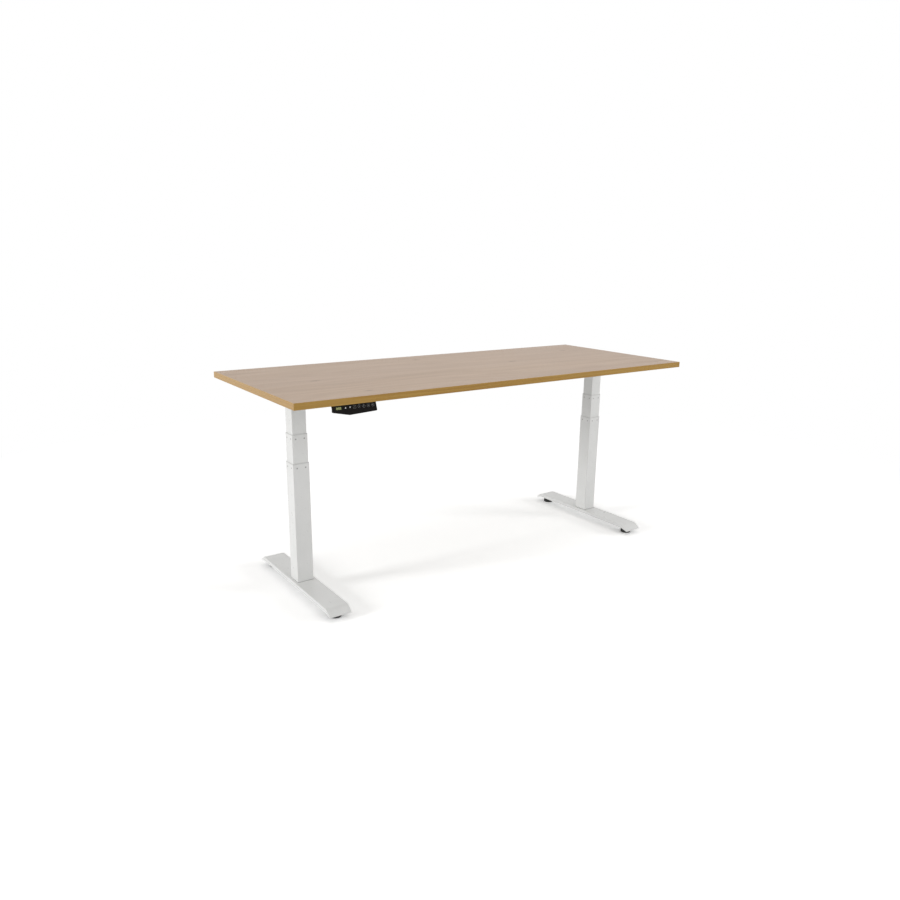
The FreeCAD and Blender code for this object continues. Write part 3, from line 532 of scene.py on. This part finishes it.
def rounded_square(half, corner, steps=6):
    """Corner points of a square with rounded corners, anticlockwise round the origin."""
    points = []
    for quarter in range(4):
        turn = math.pi / 2 * quarter
        middle_x = (half - corner) * (1 if quarter in (0, 3) else -1)
        middle_y = (half - corner) * (1 if quarter in (0, 1) else -1)
        for k in range(steps + 1):
            angle = turn + math.pi / 2 * k / steps
            points.append((middle_x + corner * math.cos(angle), middle_y + corner * math.sin(angle)))
    return points


def painted_seam_shade(side, material):
    """Dark ring of painted shade where a column stands on its foot, standing in for the shade in the joint."""
    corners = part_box("outer_tube_" + side)
    middle = (corners[0] + corners[1]) / 2
    half = (corners[1].x - corners[0].x) / 2
    low = corners[0].z
    inner = rounded_square(half - SEAM_SUNK, TUBE_CORNER - SEAM_SUNK)
    outer = rounded_square(half + SEAM_PROUD, TUBE_CORNER + SEAM_PROUD)
    levels = [(outer, low + SEAM_LIFT), (outer, low + SEAM_EDGE), (inner, low + SEAM_TOP),
              (inner, low + SEAM_LIFT)]
    bm = bmesh.new()
    rings = [[bm.verts.new((middle.x + x, middle.y + y, z)) for x, y in outline] for outline, z in levels]
    for ring_a, ring_b in zip(rings, rings[1:] + rings[:1]):
        for k in range(len(ring_a)):
            after = (k + 1) % len(ring_a)
            bm.faces.new((ring_a[k], ring_a[after], ring_b[after], ring_b[k]))
    bmesh.ops.recalc_face_normals(bm, faces=bm.faces)
    mesh = bpy.data.meshes.new("painted_seam_shade_" + side)
    bm.to_mesh(mesh)
    bm.free()
    show("painted_seam_shade_" + side, mesh, Matrix(), "base", material)


PRESS = next(joint for joint in frame["joints"] if joint["name"] == "key_up_press")
OUTWARD = -Vector(PRESS["axis"]).normalized()
RIGHT = Vector((1, 0, 0))
UPWARD = OUTWARD.cross(RIGHT)
INK = 0.00004
INK_LIFT = 0.00001
SAME_LEVEL = 0.00002

# prints, in millimetres
ARROW = [(-2.9, -2.5), (2.9, -2.5), (0.0, 3.1)]
RING_OUTER, RING_INNER = 6.1, 5.8
LABELS = {"key_1": ("1", 7.4), "key_2": ("2", 7.4), "key_3": ("3", 7.4), "key_4": ("4", 7.4), "key_m": ("M", 6.6)}
DIGIT_COUNT = 3
DIGIT_PITCH = 6.5
DIGIT_SHIFT = 1.2
DIGIT_WIDTH, DIGIT_HEIGHT = 5.2, 8.4
BAR_WIDTH, BAR_GAP = 1.2, 0.12


def face_place(node):
    """Frame on the outermost flat of a node: x along the desk, y up the face and z outward."""
    points = [vertex.co for vertex in NODES[node].data.vertices]
    top = max(point.dot(OUTWARD) for point in points)
    flat = [point for point in points if point.dot(OUTWARD) > top - SAME_LEVEL]
    x = (min(point.dot(RIGHT) for point in flat) + max(point.dot(RIGHT) for point in flat)) / 2
    y = (min(point.dot(UPWARD) for point in flat) + max(point.dot(UPWARD) for point in flat)) / 2
    turn = Matrix((RIGHT, UPWARD, OUTWARD)).transposed().to_4x4()
    return Matrix.Translation(RIGHT * x + UPWARD * y + OUTWARD * top) @ turn


def ink_piece(name, polygons, place, body, material):
    """Thin raised print made of flat polygons given in millimetres."""
    bm = bmesh.new()
    for polygon in polygons:
        low = [bm.verts.new((x * MM, y * MM, INK_LIFT)) for x, y in polygon]
        high = [bm.verts.new((x * MM, y * MM, INK)) for x, y in polygon]
        bm.faces.new(high)
        bm.faces.new(list(reversed(low)))
        for k in range(len(polygon)):
            after = (k + 1) % len(polygon)
            bm.faces.new((low[k], low[after], high[after], high[k]))
    bmesh.ops.recalc_face_normals(bm, faces=bm.faces)
    mesh = bpy.data.meshes.new(name)
    bm.to_mesh(mesh)
    bm.free()
    show(name, mesh, place, body, material)


def show(name, mesh, place, body, material):
    """Puts a mesh into the scene as a piece that rides on a body."""
    mesh.transform(place)
    mesh.materials.clear()
    mesh.materials.append(material)
    made = bpy.data.objects.new(name, mesh)
    bpy.context.scene.collection.objects.link(made)
    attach(made, body)


def ring(steps=48):
    """A circle drawn with a line of even width, as quads."""
    quads = []
    for k in range(steps):
        a, b = 2 * math.pi * k / steps, 2 * math.pi * (k + 1) / steps
        corners = ((RING_OUTER, a), (RING_OUTER, b), (RING_INNER, b), (RING_INNER, a))
        quads.append([(radius * math.cos(angle), radius * math.sin(angle)) for radius, angle in corners])
    return quads


def letter(name, text, height, place, body, material):
    """A digit or letter as a thin flat mesh, centred on place. The height is in millimetres."""
    curve = bpy.data.curves.new(name, "FONT")
    curve.body = text
    curve.size = height * MM
    curve.align_x, curve.align_y = "CENTER", "CENTER"
    curve.extrude = INK / 2
    holder = bpy.data.objects.new(name + "_curve", curve)
    bpy.context.scene.collection.objects.link(holder)
    bpy.context.view_layer.update()
    mesh = bpy.data.meshes.new_from_object(holder)
    bpy.data.objects.remove(holder)
    mesh.transform(Matrix.Translation((0, 0, INK / 2)))
    show(name, mesh, place, body, material)


def level_bar(y):
    """Outline of a level bar of a seven-bar digit, pointed at both ends."""
    tip = BAR_WIDTH / 2
    reach = DIGIT_WIDTH / 2 - tip - BAR_GAP
    return [(-reach, y), (-reach + tip, y + tip), (reach - tip, y + tip), (reach, y), (reach - tip, y - tip),
            (-reach + tip, y - tip)]


def upright_bar(x, low, high):
    """Outline of an upright bar of a seven-bar digit, pointed at both ends."""
    tip = BAR_WIDTH / 2
    return [(x, low), (x + tip, low + tip), (x + tip, high - tip), (x, high), (x - tip, high - tip),
            (x - tip, low + tip)]


def lit_digit():
    """The seven bars of a digit centred on the origin, all lit."""
    side, end = (DIGIT_WIDTH - BAR_WIDTH) / 2, (DIGIT_HEIGHT - BAR_WIDTH) / 2
    upper, lower = (BAR_GAP, end - BAR_GAP), (-end + BAR_GAP, -BAR_GAP)
    bars = [level_bar(end), upright_bar(side, *upper), upright_bar(side, *lower), level_bar(-end)]
    return bars + [upright_bar(-side, *lower), upright_bar(-side, *upper), level_bar(0.0)]


def paint_seam_shades():
    """Rings of painted shade where the columns stand on their feet."""
    # painted shade: a dark grey ring stands in for the shade in the joint between column and foot
    joint = dark_plastic("painted_joint_shade", (0.10, 0.10, 0.10), (0.17, 0.17, 0.165), 0.7, 900, 0.00005, 0.2)
    for side in ("left", "right"):
        painted_seam_shade(side, joint)


def prints():
    """Marks printed on the keys and the lit digits of the display."""
    ink, faint, lit = print_ink("white_print", 0.70, 0.86), print_ink("grey_print", 0.28, 0.38), led_light()
    ink_piece("print_up", [ARROW], face_place("key_up"), "key_up", ink)
    ink_piece("print_down", [[(-x, -y) for x, y in ARROW]], face_place("key_down"), "key_down", ink)
    for key, (text, height) in LABELS.items():
        place = face_place(key)
        ink_piece("print_ring_" + text.lower(), ring(), place, key, faint)
        letter("print_" + text.lower(), text, height, place, key, faint)
    place = face_place("handset_display")
    for k in range(DIGIT_COUNT):
        shift = Matrix.Translation((((k - 1) * DIGIT_PITCH + DIGIT_SHIFT) * MM, 0, 0))
        ink_piece("display_digit_" + str(k + 1), lit_digit(), place @ shift, "lift", lit)


camera()
world()
for lamp, setting in LAMPS.items():
    softbox(lamp, *setting)
floor()
dress_nodes()
paint_seam_shades()
prints()

bpy.context.scene.view_settings.view_transform = "Standard"
